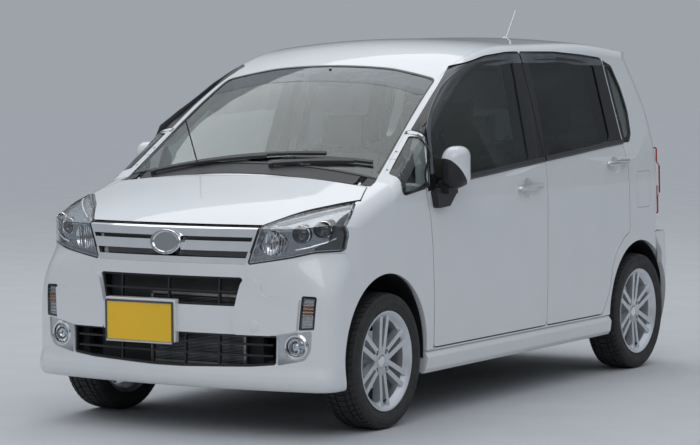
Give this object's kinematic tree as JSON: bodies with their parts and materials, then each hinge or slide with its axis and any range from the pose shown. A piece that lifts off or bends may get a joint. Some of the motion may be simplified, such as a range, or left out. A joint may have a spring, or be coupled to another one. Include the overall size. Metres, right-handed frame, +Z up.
{
  "type": "kei car",
  "caption": "Tall white five-door kei wagon with hinged doors, side-hinged tailgate, lifting hood, steering and turning wheels.",
  "frame": {"origin": "on the ground under the middle of the body, half way between the bumpers", "axes": "+X to the car's left, +Y to its rear, +Z up; the front faces -Y"},
  "size_m": [1.6842, 3.3958, 1.7593],
  "materials": {
    "body_paint": "pearl white",
    "clear_glass": "clear, green tint",
    "dark_glass": "privacy tint",
    "bright_trim": "polished",
    "lamp_silver": "satin silver",
    "lens": "clear",
    "red_lens": "glossy",
    "black_plastic": "matte",
    "underbody": "matte",
    "plate_yellow": "satin",
    "dash_plastic": "grained",
    "seat_fabric": "woven",
    "cast_metal": "rough",
    "chassis_black": "satin",
    "pipe_steel": "dull",
    "alloy": "silver lacquer",
    "tyre": "matte",
    "dark_plastic": "grained"
  },
  "bodies": {
    "body": {"body_shell": "body_paint", "roof_panel": "body_paint", "fenders": "body_paint", "front_bumper": "body_paint", "rear_bumper": "body_paint", "side_skirts": "body_paint", "fixed_glass": "clear_glass", "grille": "bright_trim", "lamp_housings": "lamp_silver", "lamp_lenses": "lens", "tail_lamps": "red_lens", "cowl": "black_plastic", "wheel_liners": "black_plastic", "floor_pan": "underbody", "intake_grilles": "black_plastic", "radiator_support": "underbody", "number_plate": "plate_yellow", "dashboard": "dash_plastic", "seats": "seat_fabric", "engine_block": "cast_metal", "front_crossmember": "chassis_black", "rear_beam": "chassis_black", "fuel_tank": "underbody", "exhaust": "pipe_steel"},
    "hood": {"hood": "body_paint"},
    "tailgate": {"tailgate": "body_paint", "tailgate_glass": "dark_glass"},
    "steering_wheel": {"steering_wheel": "dark_plastic"},
    "front_door_left": {"front_door_left": "body_paint", "front_door_glass_left": "clear_glass", "mirror_left": "black_plastic"},
    "rear_door_left": {"rear_door_left": "body_paint", "rear_door_glass_left": "dark_glass"},
    "knuckle_left": {"front_knuckle_left": "cast_metal"},
    "front_wheel_left": {"front_rim_left": "alloy", "front_tyre_left": "tyre"},
    "rear_wheel_left": {"rear_rim_left": "alloy", "rear_tyre_left": "tyre"},
    "front_door_right": {"front_door_right": "body_paint", "front_door_glass_right": "clear_glass", "mirror_right": "black_plastic"},
    "rear_door_right": {"rear_door_right": "body_paint", "rear_door_glass_right": "dark_glass"},
    "knuckle_right": {"front_knuckle_right": "cast_metal"},
    "front_wheel_right": {"front_rim_right": "alloy", "front_tyre_right": "tyre"},
    "rear_wheel_right": {"rear_rim_right": "alloy", "rear_tyre_right": "tyre"}
  },
  "joints": [
    {"name": "hood_hinge", "type": "hinge", "parent": "body", "child": "hood", "pos_m": [0, -1.066, 1], "axis": [-1, 0, 0], "range_deg": [0, 52]},
    {"name": "tailgate_hinge", "type": "hinge", "parent": "body", "child": "tailgate", "pos_m": [-0.575, 1.559, 0.88], "axis": [0, 0, 1], "range_deg": [0, 80]},
    {"name": "front_door_left_hinge", "type": "hinge", "parent": "body", "child": "front_door_left", "pos_m": [0.724, -0.735, 0.615], "axis": [0, 0, -1], "range_deg": [0, 65]},
    {"name": "rear_door_left_hinge", "type": "hinge", "parent": "body", "child": "rear_door_left", "pos_m": [0.724, 0.33, 0.615], "axis": [0, 0, -1], "range_deg": [0, 65]},
    {"name": "front_door_right_hinge", "type": "hinge", "parent": "body", "child": "front_door_right", "pos_m": [-0.724, -0.735, 0.615], "axis": [0, 0, 1], "range_deg": [0, 65]},
    {"name": "rear_door_right_hinge", "type": "hinge", "parent": "body", "child": "rear_door_right", "pos_m": [-0.724, 0.33, 0.615], "axis": [0, 0, 1], "range_deg": [0, 65]},
    {"name": "steer_left", "type": "hinge", "parent": "body", "child": "knuckle_left", "pos_m": [0.6, -1.1425, 0.19], "axis": [-0.1531, 0, 0.9882], "range_deg": [-35, 35]},
    {"name": "steer_right", "type": "hinge", "parent": "body", "child": "knuckle_right", "pos_m": [-0.6, -1.1425, 0.19], "axis": [0.1531, 0, 0.9882], "range_deg": [-35, 35]},
    {"name": "steering_wheel_turn", "type": "hinge", "parent": "body", "child": "steering_wheel", "pos_m": [-0.35, -0.56, 0.905], "axis": [0, 0.8988, 0.4384], "range_deg": [-490, 490]},
    {"name": "front_wheel_left_spin", "type": "hinge", "parent": "knuckle_left", "child": "front_wheel_left", "pos_m": [0.65, -1.1425, 0.281], "axis": [1, 0, 0], "continuous": true},
    {"name": "rear_wheel_left_spin", "type": "hinge", "parent": "body", "child": "rear_wheel_left", "pos_m": [0.65, 1.3125, 0.281], "axis": [1, 0, 0], "continuous": true},
    {"name": "front_wheel_right_spin", "type": "hinge", "parent": "knuckle_right", "child": "front_wheel_right", "pos_m": [-0.65, -1.1425, 0.281], "axis": [1, 0, 0], "continuous": true},
    {"name": "rear_wheel_right_spin", "type": "hinge", "parent": "body", "child": "rear_wheel_right", "pos_m": [-0.65, 1.3125, 0.281], "axis": [1, 0, 0], "continuous": true}
  ],
  "couplings": [
    {"joint": "steer_right", "follows": "steer_left", "ratio": 1},
    {"joint": "steering_wheel_turn", "follows": "steer_left", "ratio": 14}
  ]
}
